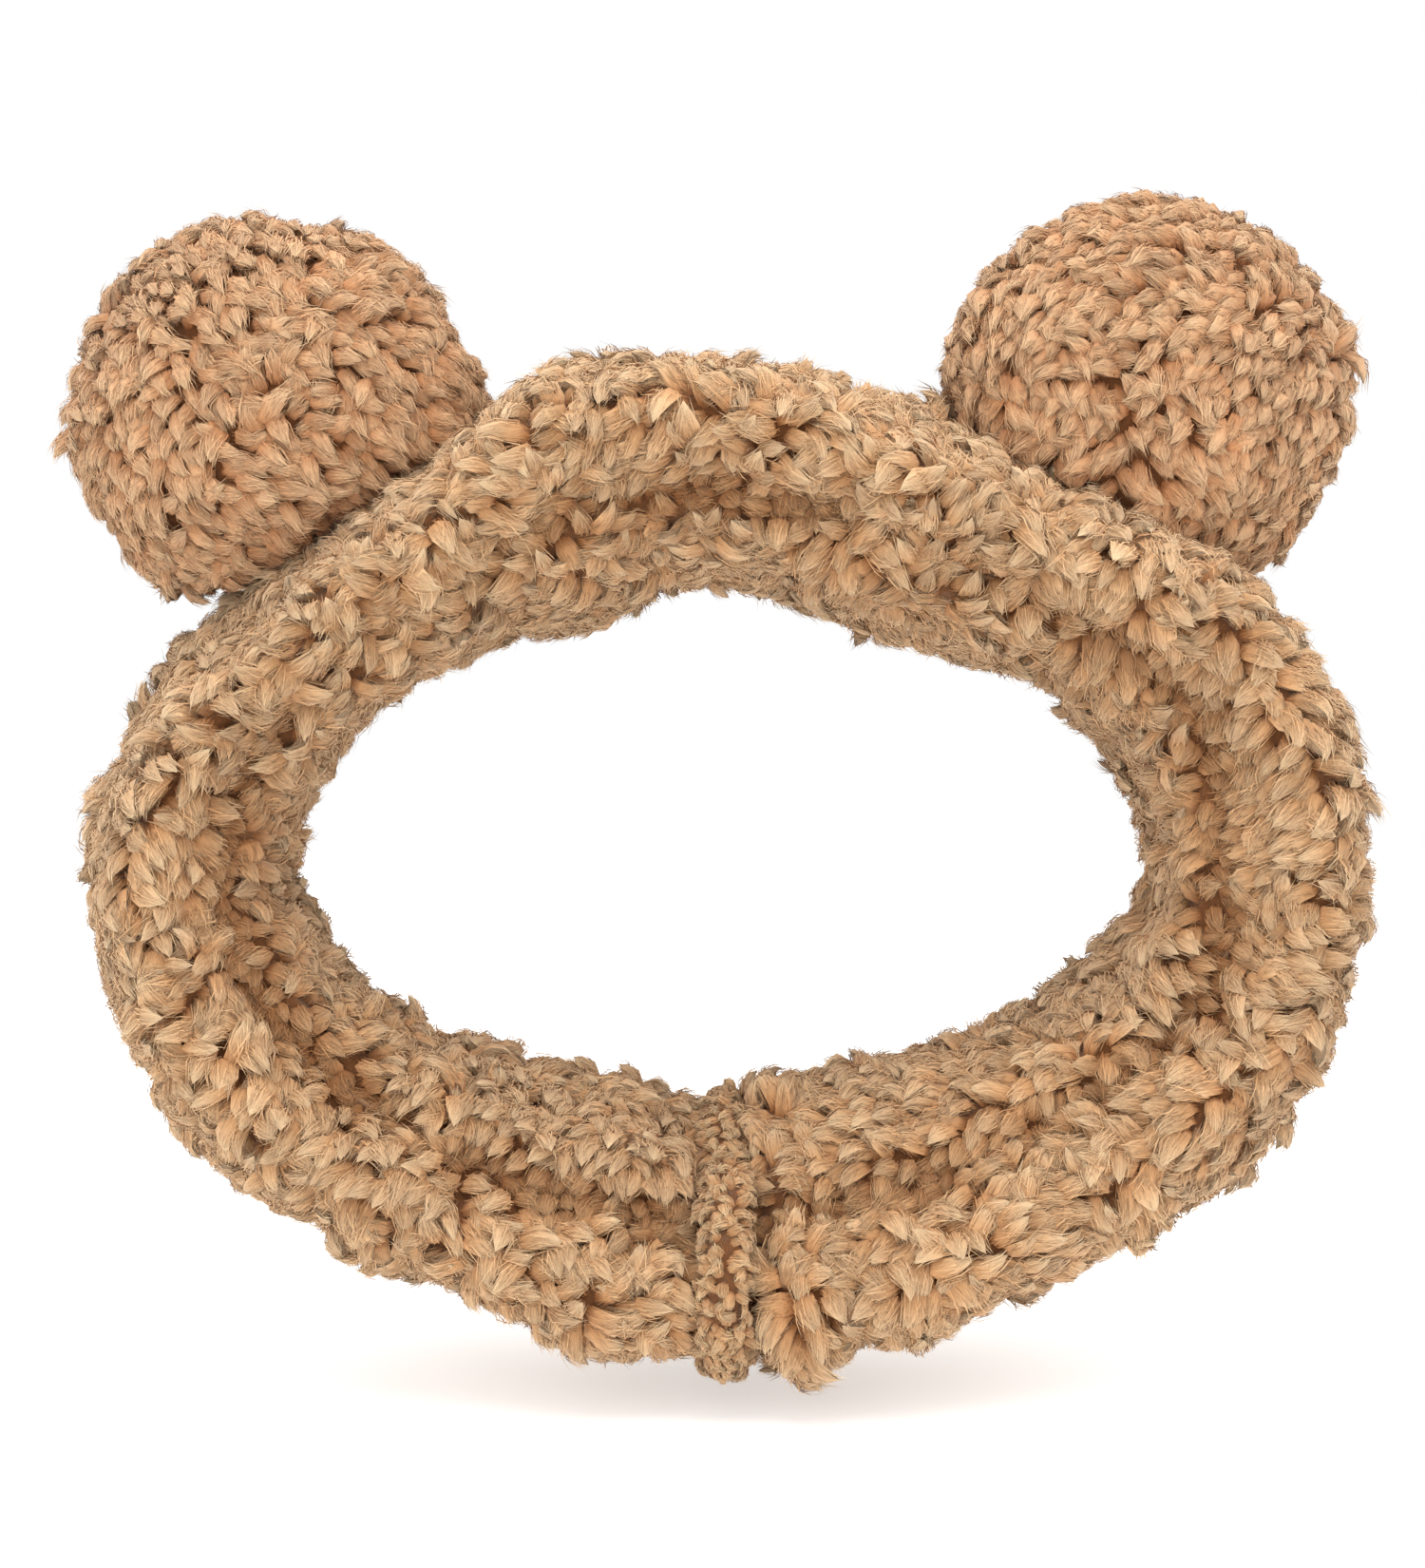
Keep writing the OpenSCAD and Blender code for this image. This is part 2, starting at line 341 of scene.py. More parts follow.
def object_from(bm: bmesh.types.BMesh, name: str) -> bpy.types.Object:
    """Turn a bmesh into a linked object.

    Args:
        bm: The mesh, which is freed.
        name: Name of the object.

    Returns:
        The new object.
    """
    mesh = bpy.data.meshes.new(name)
    bm.to_mesh(mesh)
    bm.free()
    return link(bpy.data.objects.new(name, mesh))


def evaluated(obj: bpy.types.Object) -> bpy.types.Mesh:
    """Make a new mesh from an object with its modifiers applied."""
    graph = bpy.context.evaluated_depsgraph_get()
    return bpy.data.meshes.new_from_object(obj.evaluated_get(graph))


def coords(mesh: bpy.types.Mesh) -> np.ndarray:
    """Read the places of a mesh's vertices."""
    co = np.empty(len(mesh.vertices) * 3)
    mesh.vertices.foreach_get("co", co)
    return co.reshape(-1, 3)


def inflate(obj: bpy.types.Object, voxel: float, pressure: float, cap: float, pinned) -> None:
    """Stuff a closed skin: remesh it, blow it up as cloth and cap how far it moves.

    Args:
        obj: The closed skin, which is changed.
        voxel: Size of the remesh.
        pressure: Pressure of the filling.
        cap: Most that a point may move.
        pinned: Function from places to the weight with which the seams hold them.
    """
    remesh = obj.modifiers.new("remesh", "REMESH")
    remesh.mode = "VOXEL"
    remesh.voxel_size = voxel
    mesh = evaluated(obj)
    obj.modifiers.clear()
    obj.data = mesh
    start = coords(mesh)
    weights = pinned(start)
    group = obj.vertex_groups.new(name="seams")
    for level in (0.35, 0.7, 1.0):
        chosen = np.nonzero((weights > level - 0.35) & (weights <= level))[0]
        group.add([int(i) for i in chosen], level, "REPLACE")
    cloth = obj.modifiers.new("stuffing", "CLOTH")
    settings = cloth.settings
    settings.quality = 6
    settings.use_pressure = True
    settings.uniform_pressure_force = pressure
    settings.vertex_group_mass = group.name
    settings.shrink_min = -0.04
    settings.effector_weights.gravity = 0
    scene = bpy.context.scene
    for step in range(1, 21):
        scene.frame_set(step)
    moved = coords(evaluated(obj))
    obj.modifiers.clear()
    obj.vertex_groups.clear()
    scene.frame_set(1)
    shift = moved - start
    size = np.linalg.norm(shift, axis=1, keepdims=True)
    co = start + shift * np.minimum(1.0, cap / np.maximum(size, 1e-9))
    obj.data.vertices.foreach_set("co", co.ravel())
    obj.data.update()
    smooth = obj.modifiers.new("smooth", "SUBSURF")
    smooth.levels = smooth.render_levels = 1
    obj.data = evaluated(obj)
    obj.modifiers.clear()


@dataclass(frozen=True)
class Pile:
    """How the pile of one fabric stands: its locks' spacing, sizes and curl."""

    spacing: float
    length: float
    width: float
    curl: float = 2.0
    swirl: float = 32 * MM
    strands: int = 14
    strand_w: float = 0.2 * MM
    untidy: float = 0.5
    flat: float = 0.85
    sides: int = 5
    fuzz: float = 1.6
    twist: float = 0.7
    soft: float = 0.5
    girth: tuple = ((0.0, 0.32), (0.30, 0.46), (0.66, 0.42), (0.92, 0.20))

    def radius(self, t: float) -> float:
        """Give a lock's radius at t, from 0 at its root to 1 at its tip, as a share of its width."""
        return float(np.interp(t, *zip(*self.girth, (1.12, 0.0))))

    def lock(self, rng: np.random.Generator) -> "Template":
        """Make the body of one lock, of length and width 1, before it is curled.

        Args:
            rng: Source of its random shape.

        Returns:
            The lock's vertices, faces and map places.
        """
        bm = bmesh.new()
        marks = Marks.on(bm)
        ring = bmesh.ops.create_circle(bm, segments=self.sides, radius=1.0)["verts"]
        base = {v: v.co.copy() for v in ring}
        turns = {v: math.atan2(v.co.y, v.co.x) / (2 * math.pi) for v in ring}
        lobes = {v: 1 + 0.22 * rng.uniform(-1, 1) for v in ring}
        edges = list(bm.edges)
        for k, (t, r) in enumerate(self.girth):
            if k:
                made = bmesh.ops.extrude_edge_only(bm, edges=edges)["geom"]
                edges = [g for g in made if isinstance(g, bmesh.types.BMEdge)]
                new = {g for g in made if isinstance(g, bmesh.types.BMVert)}
                above = {v: next(e.other_vert(v) for e in v.link_edges if e.other_vert(v) in new) for v in ring}
                base, turns, lobes = ({above[v]: m[v] for v in ring} for m in (base, turns, lobes))
                ring = list(above.values())
                lobes = {v: lobes[v] * (1 + 0.12 * rng.uniform(-1, 1)) for v in ring}
            for v in ring:
                v.co = (base[v].x * r * lobes[v], base[v].y * r * lobes[v] * self.flat, t)
                marks.set(v, t, turns[v])
        top = bm.verts.new((0, 0, 1.10))
        marks.set(top, 1.0, 0.0)
        for e in edges:
            bm.faces.new((*e.verts, top))
        bmesh.ops.recalc_face_normals(bm, faces=bm.faces)
        return Template.read(bm, marks)

    def wisp(self, rng: np.random.Generator, drift: float, flare: float) -> "Template":
        """Make the loose fibres that lie along one lock and stand out at its end.

        Args:
            rng: Source of their random shapes.
            drift: How far, in radians, a fibre may wander round the lock.
            flare: How far its end may stand off the lock, as a share of the lock's width.

        Returns:
            The fibres' vertices, faces and map places.
        """
        bm = bmesh.new()
        marks = Marks.on(bm)
        half = self.strand_w / self.width / 2
        for _ in range(self.strands):
            turn = rng.uniform(-0.25, 1.25) * math.pi
            first, last = rng.uniform(0.05, 0.6), rng.uniform(0.8, 1.3)
            lift, wander = rng.uniform(0.04, flare), rng.uniform(-drift, drift)
            tone, twist = rng.uniform(-0.5, 0.5), rng.uniform(-self.twist, self.twist)
            rows = []
            for share, slim in ((0.0, 0.9), (0.55, 1.0), (1.0, 0.0)):
                t = first + (last - first) * share
                way = turn + wander * share
                out = self.radius(t) * 1.03 + 0.02 + lift * share**2
                middle = Vector((math.cos(way) * out, math.sin(way) * out * self.flat, t))
                lie = way + math.pi / 2 + twist
                across = Vector((math.cos(lie), math.sin(lie), 0)) * half * slim
                spots = (middle - across, middle + across) if slim else (middle,)
                rows.append([bm.verts.new(spot) for spot in spots])
                for v in rows[-1]:
                    marks.set(v, min(t, 1.0), tone)
            bm.faces.new((rows[0][0], rows[0][1], rows[1][1], rows[1][0]))
            bm.faces.new((rows[1][0], rows[1][1], rows[2][0]))
        return Template.read(bm, marks)


@dataclass
class Marks:
    """The two values that each vertex of a lock carries: its height in the pile and its place across it."""

    height: object
    turn: object

    @classmethod
    def on(cls, bm: bmesh.types.BMesh) -> "Marks":
        """Make the layers on a new bmesh."""
        return cls(bm.verts.layers.float.new("height"), bm.verts.layers.float.new("turn"))

    def set(self, vert: bmesh.types.BMVert, height: float, turn: float) -> None:
        """Mark one vertex."""
        vert[self.height] = height
        vert[self.turn] = turn


@dataclass
class Template:
    """One tuft as arrays, ready to be copied many times."""

    co: np.ndarray
    height: np.ndarray
    turn: np.ndarray
    loops: np.ndarray
    sizes: np.ndarray

    @classmethod
    def read(cls, bm: bmesh.types.BMesh, marks: Marks) -> "Template":
        """Read a bmesh into arrays and free it.

        Args:
            bm: The shape.
            marks: What its vertices carry.

        Returns:
            The arrays.
        """
        bm.verts.index_update()
        co = np.array([v.co for v in bm.verts])
        height = np.array([v[marks.height] for v in bm.verts])
        turn = np.array([v[marks.turn] for v in bm.verts])
        loops = np.array([v.index for f in bm.faces for v in f.verts])
        sizes = np.array([len(f.verts) for f in bm.faces])
        bm.free()
        return cls(co, height, turn, loops, sizes)


def scatter(mesh: bpy.types.Mesh, spacing: float, rng: np.random.Generator) -> tuple[np.ndarray, np.ndarray]:
    """Spread roots over a skin, none nearer to another than the spacing.

    Args:
        mesh: The skin.
        spacing: Least distance between roots.
        rng: Source of randomness.

    Returns:
        Places and outward normals of the roots.
    """
    mesh.calc_loop_triangles()
    tris = np.empty(len(mesh.loop_triangles) * 3, dtype=np.int64)
    mesh.loop_triangles.foreach_get("vertices", tris)
    tris = tris.reshape(-1, 3)
    co = coords(mesh)
    normals = np.empty(len(mesh.vertices) * 3)
    mesh.vertex_normals.foreach_get("vector", normals)
    normals = normals.reshape(-1, 3)
    a, b, c = co[tris[:, 0]], co[tris[:, 1]], co[tris[:, 2]]
    area = np.linalg.norm(np.cross(b - a, c - a), axis=1) / 2
    tries = int(area.sum() / spacing**2 * 12)
    pick = rng.choice(len(tris), tries, p=area / area.sum())
    u, v = rng.random((2, tries))
    flip = u + v > 1
    u[flip], v[flip] = 1 - u[flip], 1 - v[flip]
    weights = np.stack([1 - u - v, u, v], 1)[:, :, None]
    places = (co[tris[pick]] * weights).sum(1)
    outward = (normals[tris[pick]] * weights).sum(1)
    outward /= np.linalg.norm(outward, axis=1, keepdims=True)
    cells: dict[tuple[int, int, int], list[int]] = {}
    kept: list[int] = []
    keys = np.floor(places / spacing).astype(int)
    near = [(i, j, k) for i in (-1, 0, 1) for j in (-1, 0, 1) for k in (-1, 0, 1)]
    for i, key in enumerate(map(tuple, keys)):
        p = places[i]
        if all(
            (p[0] - places[o][0]) ** 2 + (p[1] - places[o][1]) ** 2 + (p[2] - places[o][2]) ** 2 > spacing**2
            for d in near
            for o in cells.get((key[0] + d[0], key[1] + d[1], key[2] + d[2]), ())
        ):
            cells.setdefault(key, []).append(i)
            kept.append(i)
    return places[kept], outward[kept]


def waves(points: np.ndarray, size: float, seed: float) -> np.ndarray:
    """Read smooth noise vectors at points.

    Args:
        points: N by 3 places.
        size: Size of one swell.
        seed: Shift that tells one field from another.

    Returns:
        N by 3 values from about -1 to 1.
    """
    shift = Vector((seed, seed * 1.7, -seed))
    return np.array([noise.noise_vector(Vector(p) / size + shift) for p in points])


@dataclass
class Stand:
    """Where all the locks of a piece stand and how each one is sized, turned and curled."""

    roots: np.ndarray
    up: np.ndarray
    brushed: np.ndarray
    across: np.ndarray
    length: np.ndarray
    width: np.ndarray
    curl: np.ndarray
    start: np.ndarray
    tone: np.ndarray
    tall: np.ndarray

    def copies(self, shape: Template, chosen: np.ndarray, wrap: float, ribbons: bool) -> tuple:
        """Copy one shape to the roots that it goes to, each copy bent along its own arc.

        Args:
            shape: The shape, with its length along z.
            chosen: Which roots it goes to.
            wrap: How far the shape's own shades spread over the map.
            ribbons: Whether its faces are open ribbons, which are turned to face away from the skin.

        Returns:
            Vertices, their map places, loops and face sizes of all the copies, and the skin's way up at each.
        """
        spread = [a[chosen][:, None] for a in (self.length, self.width, self.curl, self.start, self.tone)]
        length, width, curl, start, tone = spread
        angle = start + curl * shape.co[None, :, 2]
        fore = shape.co[None, :, 1] * width
        along = length * (np.cos(start) - np.cos(angle)) / curl - fore * np.cos(angle)
        above = length * (np.sin(angle) - np.sin(start)) / curl + fore * np.sin(angle) - 0.8 * MM
        side = shape.co[None, :, 0] * width
        roots, across, brushed, up = (a[chosen][:, None, :] for a in (self.roots, self.across, self.brushed, self.up))
        co = roots + across * side[..., None] + brushed * along[..., None] + up * above[..., None]
        shade = np.clip(tone + wrap * shape.turn[None, :], 0.01, 0.99)
        height = shape.height[None, :] * self.tall[chosen][:, None]
        number = int(chosen.sum())
        table = np.tile(shape.loops, (number, 1))
        ends = np.cumsum(shape.sizes)
        for first, end in zip(ends - shape.sizes, ends) if ribbons else ():
            a, b, c = (co[:, shape.loops[first + k]] for k in range(3))
            inward = (np.cross(b - a, c - a) * up[:, 0]).sum(1) < 0
            table[inward, first:end] = table[inward, first:end][:, ::-1]
        loops = (table + len(shape.co) * np.arange(number)[:, None]).ravel()
        places = np.stack([shade.ravel(), height.ravel()], 1)
        upward = np.broadcast_to(up, co.shape).reshape(-1, 3)
        return co.reshape(-1, 3), places, loops, np.tile(shape.sizes, number), upward


class Plush:
    """Grows pile on skins and makes the finished plush pieces."""

    def __init__(self, pile: Pile, finish: bpy.types.Material, seed: int) -> None:
        """Keep the pile's settings and make its locks.

        Args:
            pile: How the pile stands.
            finish: Its material.
            seed: Seed of all its randomness.
        """
        self.pile = pile
        self.finish = finish
        self.rng = np.random.default_rng(seed)
        self.seed = seed
        self.locks = [pile.lock(self.rng) for _ in range(6)]
        self.sleek = [pile.wisp(self.rng, 0.5, 0.2) for _ in range(6)]
        self.loose = [pile.wisp(self.rng, pile.fuzz, 0.45) for _ in range(6)]

    def grow(self, name: str, skin: bpy.types.Mesh, flow=None, length=None) -> bpy.types.Object:
        """Cover a skin with locks.

        Args:
            name: Name of the piece.
            skin: The backing, whose outer side gets the pile.
            flow: Function from roots to the way the pile is brushed.
            length: Function from roots to a factor on the pile's length, which also paints short pile darker as painted
                shade.

        Returns:
            The piece: its backing and its pile in one mesh.
        """
        pile, rng = self.pile, self.rng
        roots, up = scatter(skin, pile.spacing, rng)
        share = np.ones(len(roots)) if length is None else length(roots)
        count = len(roots)
        brushed = waves(roots, pile.swirl, self.seed)
        if flow is not None:
            brushed = brushed + flow(roots)
        brushed += rng.normal(0, pile.untidy, brushed.shape)
        brushed -= up * (brushed * up).sum(1, keepdims=True)
        brushed /= np.maximum(np.linalg.norm(brushed, axis=1, keepdims=True), 1e-6)
        swell = waves(roots, 13 * MM, self.seed + 3)[:, 0]
        size = share * (1 + 0.20 * swell + rng.normal(0, 0.10, count))
        stand = Stand(
            roots=roots,
            up=up,
            brushed=brushed,
            across=np.cross(up, brushed),
            length=pile.length * size,
            width=pile.width * (1 + rng.normal(0, 0.12, count)) * size**0.2,
            curl=pile.curl * (1 + rng.normal(0, 0.20, count)).clip(0.75, 1.4),
            start=rng.normal(0.25, 0.2, count),
            # Painted shade: where the pile is short, in the seams' creases, at the join and at the ears' base, its tone
            # and height marks are lowered, so it is painted darker.
            tone=np.clip(0.5 + 0.30 * swell + 1.2 * (share - 1) + rng.normal(0, 0.14, count), 0.06, 0.92),
            tall=np.clip(share, 0, 1) ** 1.3,
        )
        blocks = []
        for shapes, wrap, ribbons in ((self.locks, 0.08, False), (self.sleek, 0.7, True), (self.loose, 0.7, True)):
            which = rng.integers(0, len(shapes), count)
            blocks += [stand.copies(shape, which == i, wrap, ribbons) for i, shape in enumerate(shapes)]
        return self.assemble(name, skin, blocks)

    def assemble(self, name: str, skin: bpy.types.Mesh, blocks: list) -> bpy.types.Object:
        """Join a backing and its tufts into one mesh.

        Args:
            name: Name of the piece.
            skin: The backing.
            blocks: What Stand.copies() made for each tuft shape.

        Returns:
            The piece.
        """
        co = coords(skin)
        loops = np.empty(len(skin.loops), dtype=np.int64)
        skin.loops.foreach_get("vertex_index", loops)
        sizes = np.empty(len(skin.polygons), dtype=np.int64)
        skin.polygons.foreach_get("loop_total", sizes)
        # Painted shade: the backing takes the darkest tone and the bottom of the height ramp, so it shows as shade
        # between the locks.
        backing = np.stack([np.full(len(co), 0.05), np.zeros(len(co))], 1)
        backing += self.rng.random(backing.shape) * 0.02
        normals = np.empty(len(co) * 3)
        skin.vertex_normals.foreach_get("vector", normals)
        parts = [(co, backing, loops, sizes, normals.reshape(-1, 3)), *blocks]
        offset, all_loops = 0, []
        for part in parts:
            all_loops.append(part[2] + offset)
            offset += len(part[0])
        co = np.concatenate([p[0] for p in parts])
        place = np.concatenate([p[1] for p in parts])
        loops = np.concatenate(all_loops)
        sizes = np.concatenate([p[3] for p in parts])
        mesh = bpy.data.meshes.new(name)
        mesh.vertices.add(len(co))
        mesh.vertices.foreach_set("co", co.ravel())
        mesh.loops.add(len(loops))
        mesh.loops.foreach_set("vertex_index", loops.astype(np.int32))
        mesh.polygons.add(len(sizes))
        starts = np.concatenate([[0], np.cumsum(sizes)[:-1]])
        mesh.polygons.foreach_set("loop_start", starts.astype(np.int32))
        mesh.update(calc_edges=True)
        layer = mesh.uv_layers.new(name="OFBake")
        uv = place[loops]
        spread = np.tile([[0.0, 0.0], [0.004, 0.0], [0.004, 0.004], [0.0, 0.004]], (len(loops) // 4 + 1, 1))[: len(loops)]
        layer.data.foreach_set("uv", np.clip(uv + spread, 0, 1).astype(np.float32).ravel())
        mesh.shade_smooth()
        own = np.empty(len(co) * 3)
        mesh.vertex_normals.foreach_get("vector", own)
        upward = np.concatenate([p[4] for p in parts])
        soft = own.reshape(-1, 3) * (1 - self.pile.soft) + upward * self.pile.soft
        soft /= np.maximum(np.linalg.norm(soft, axis=1, keepdims=True), 1e-6)
        mesh.normals_split_custom_set_from_vertices(soft)
        mesh.materials.append(self.finish)
        LOG.info("%s: %d triangles", name, len(loops) - 2 * len(sizes))
        return link(bpy.data.objects.new(name, mesh))


def part_of(mesh: bpy.types.Mesh, name: str, keep: np.ndarray) -> bpy.types.Mesh:
    """Copy some faces of a mesh.

    Args:
        mesh: The whole skin.
        name: Name of the new mesh.
        keep: Which faces to keep.

    Returns:
        The new mesh.
    """
    bm = bmesh.new()
    bm.from_mesh(mesh)
    bm.faces.ensure_lookup_table()
    gone = [f for f, k in zip(bm.faces, keep) if not k]
    bmesh.ops.delete(bm, geom=gone, context="FACES")
    new = bpy.data.meshes.new(name)
    bm.to_mesh(new)
    bm.free()
    return new


def face_centres(mesh: bpy.types.Mesh) -> np.ndarray:
    """Read the middles of a mesh's faces."""
    centres = np.empty(len(mesh.polygons) * 3)
    mesh.polygons.foreach_get("center", centres)
    return centres.reshape(-1, 3)


@dataclass(frozen=True)
class Push:
    """A place where the worn-in tube stands off its plain oval.

    The pushes follow the relaxed headband: drawn in before the ears, wider at the ends of its opening.
    """

    angle: float
    width: float
    amount: float
    front: float = 1.0
    back: float = 0.0
    outer: float = 1.0
    inner: float = 1.0

    def at(self, polar: np.ndarray, front: np.ndarray, outer: np.ndarray) -> np.ndarray:
        """Say how far points are pushed outwards.

        Args:
            polar: Their directions from the middle of the opening, in degrees.
            front: 1 at the front rim to 0 at the back rim.
            outer: 1 on the outer side of the tube to 0 on its inner side.

        Returns:
            Distances outwards.
        """
        apart = (polar - self.angle + 180) % 360 - 180
        share = (self.front * front + self.back * (1 - front)) * (self.outer * outer + self.inner * (1 - outer))
        return self.amount * np.exp(-((apart / self.width) ** 2)) * share


PUSHES = (
    Push(140, 26, -15 * MM, inner=0.15),
    Push(160, 15, -7 * MM, back=0.7, inner=0.3),
    Push(57, 24, -12 * MM, inner=0.35),
    Push(110, 13, 4 * MM),
    Push(-90, 24, 8 * MM, back=0.2, inner=0.6),
    Push(-90, 30, -4 * MM, front=0.0, back=1.0, outer=0.2),
    Push(90, 28, 3 * MM, outer=0.0),
    Push(180, 24, 5 * MM, back=1.0, outer=0.0),
    Push(0, 16, 5 * MM, back=1.0, outer=0.0),
    Push(55, 26, -6 * MM, front=0.0, back=1.0, outer=0.2),
    Push(115, 26, -6 * MM, front=0.0, back=1.0, outer=0.2),
    Push(-55, 26, -6 * MM, front=0.0, back=1.0, outer=0.2),
    Push(-125, 28, -6 * MM, front=0.0, back=1.0, outer=0.2),
    Push(190, 28, 8 * MM, front=0.0, back=1.0, inner=0.2),
    Push(90, 22, 5 * MM, front=0.2, back=1.0, inner=0.0),
    Push(232, 24, 5 * MM, front=0.3, back=1.0, inner=0.0),
    Push(-32, 26, 4 * MM, back=0.5, inner=0.0),
)


def smoothstep(x: np.ndarray) -> np.ndarray:
    """Ease from 0 at 0 to 1 at 1."""
    x = np.clip(x, 0, 1)
    return x * x * (3 - 2 * x)


@dataclass
class Band:
    """The plush tube round the head: its panels, seams, wadding and the strip round its join."""

    plush: Plush
    trim: Plush
    thread: bpy.types.Material
    wadding: bpy.types.Material
    thickness: float = 44 * MM
    seam_out: float = -6.5 * MM
    skin_depth: float = 5.5 * MM
    wadding_depth: float = 20 * MM
    crease: float = 12.5 * MM
    crease_w: float = 6.2 * MM
    thread_r: float = 0.6 * MM
    gather: float = 2.8 * MM
    gather_l: float = 16 * MM
    wrap_w: float = 12 * MM
    tuck: float = 0.12
    oval: Oval = field(init=False)
    width: float = field(init=False)

    def __post_init__(self) -> None:
        """Take the band's size from the frame."""
        low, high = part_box("band_outer_panel")
        self.oval = Oval(high.x - self.thickness / 2, -low.z - self.thickness / 2)
        self.width = high.y - low.y

    def profile(self, angle: float, depth: float, crease: float) -> tuple[float, float]:
        """Give the tube's section at some depth under the pile's surface.

        Args:
            angle: From 0 on the outer side, round by the front, to a full turn.
            depth: Depth under the band's outside.
            crease: How deep the long seams are drawn in.

        Returns:
            Distance outwards from the centre line, and place from front to back.
        """
        half_t, half_w = self.thickness / 2 - depth, self.width / 2 - depth
        power = 2 / 2.7
        c, s = math.cos(angle), math.sin(angle)
        out = half_t * math.copysign(abs(c) ** power, c)
        fore = -half_w * math.copysign(abs(s) ** power, s)
        for end in (-1, 1):
            gap = math.hypot((out - self.seam_out) / self.crease_w, (fore - end * half_w) / (2 * self.crease_w))
            fore -= end * crease * math.exp(-gap * gap)
        return out, fore

    def section(self, bm: bmesh.types.BMesh, depth: float, crease: float, count: int = 44) -> list:
        """Make the tube's section at the bottom of the band.

        Args:
            bm: The mesh that gets it.
            depth: Depth under the band's outside.
            crease: How deep the long seams are drawn in.
            count: Number of points.

        Returns:
            The section's vertices.
        """
        ring = bmesh.ops.create_circle(bm, segments=count, radius=1.0)["verts"]
        for v in ring:
            out, fore = self.profile(math.atan2(v.co.y, v.co.x), depth, crease)
            v.co = (0.0, fore, -self.oval.half_h - out)
        return ring

    def sweep(self, bm: bmesh.types.BMesh, step: float) -> None:
        """Spin what is in a mesh all round the band's arcs.

        Args:
            bm: The mesh, which holds one section at the bottom.
            step: Length of a step along the centre line.
        """
        geom = list(bm.verts) + list(bm.edges)
        for cx, cz, r, a, b in self.oval.arcs():
            spun = bmesh.ops.spin(
                bm,
                geom=geom,
                cent=(cx, 0, cz),
                axis=(0, -1, 0),
                dvec=(0, 0, 0),
                angle=b - a,
                steps=max(4, round(r * (b - a) / step)),
            )
            geom = spun["geom_last"]
        bmesh.ops.remove_doubles(bm, verts=bm.verts, dist=0.05 * MM)
        bmesh.ops.recalc_face_normals(bm, faces=bm.faces)

    def warp(self, co: np.ndarray) -> np.ndarray:
        """Move points from the plain oval to where the worn-in tube has them.

        Args:
            co: N by 3 places.

        Returns:
            The new places.
        """
        _, out, angle = self.oval.locate(co)
        polar = np.degrees(np.arctan2(co[:, 2], co[:, 0]))
        front = smoothstep((6 * MM - co[:, 1]) / (30 * MM))
        outer = np.clip(out / self.thickness + 0.5, 0, 1)
        amount = sum(push.at(polar, front, outer) for push in PUSHES)
        return co + np.stack([np.cos(angle), np.zeros(len(co)), np.sin(angle)], 1) * amount[:, None]

    def skin(self) -> bpy.types.Object:
        """Sweep the backing's section round the band and stuff it.

        Returns:
            The stuffed skin.
        """
        bm = bmesh.new()
        self.section(bm, self.skin_depth, self.crease)
        self.sweep(bm, 5 * MM)
        obj = object_from(bm, "band_skin")
        inflate(obj, 4.5 * MM, 4.0, 4 * MM, self.pins)
        self.shape(obj)
        return obj

    def seams_at(self, points: np.ndarray, reach: float) -> np.ndarray:
        """Say how near points are to the long seams.

        Args:
            points: N by 3 places before the warp.
            reach: Distance at which a seam's hold has mostly gone.

        Returns:
            Values from 0 to 1.
        """
        _, out, _ = self.oval.locate(points)
        half_w = self.width / 2 - self.skin_depth
        gap = np.hypot(out - self.seam_out, np.abs(points[:, 1]) - half_w + self.crease) / reach
        return np.exp(-gap * gap)

    def join_at(self, points: np.ndarray, reach: float, power: int) -> np.ndarray:
        """Say how near points are to the join at the bottom, as values from 0 to 1."""
        along, _, _ = self.oval.locate(points)
        apart = np.minimum(along, self.oval.length() - along)
        return np.exp(-((apart / reach) ** power))

    def pins(self, points: np.ndarray) -> np.ndarray:
        """Say how firmly the seams and the join hold the skin's points, from 0 to 1."""
        return np.clip(np.maximum(self.seams_at(points, 4 * MM), self.join_at(points, 7 * MM, 2)), 0, 1)

    def shape(self, obj: bpy.types.Object) -> None:
        """Gather the fabric as the elastic does, draw it in at the join and wear it in.

        Args:
            obj: The stuffed skin, which is changed.
        """
        co = coords(obj.data)
        along, _, _ = self.oval.locate(co)
        lumps = waves(co, 24 * MM, 4.0)[:, 0]
        lines = np.stack([along, np.abs(co[:, 1]) * 0.35, np.zeros(len(co))], 1)
        folds = waves(lines, self.gather_l, 9.0)[:, 0]
        strength = self.gather * (0.6 + 1.0 * self.join_at(co, 75 * MM, 2))
        normals = np.empty(len(co) * 3)
        obj.data.vertex_normals.foreach_get("vector", normals)
        swell = np.clip(strength * (folds - 0.1) * 1.4 + 2.6 * MM * lumps, -4 * MM, 5 * MM)
        co += normals.reshape(-1, 3) * swell[:, None]
        obj.data.vertices.foreach_set("co", self.warp(self.draw_in(co)).ravel())
        obj.data.update()

    def draw_in(self, co: np.ndarray) -> np.ndarray:
        """Draw points near the join in towards the middle of the tube.

        Args:
            co: N by 3 places before the warp.

        Returns:
            The new places.
        """
        _, out, angle = self.oval.locate(co)
        drawn = np.stack([np.cos(angle), np.zeros(len(co)), np.sin(angle)], 1) * (out * 0.3)[:, None]
        drawn[:, 1] += co[:, 1] * 0.16
        return co - self.join_at(co, 8.5 * MM, 4)[:, None] * drawn

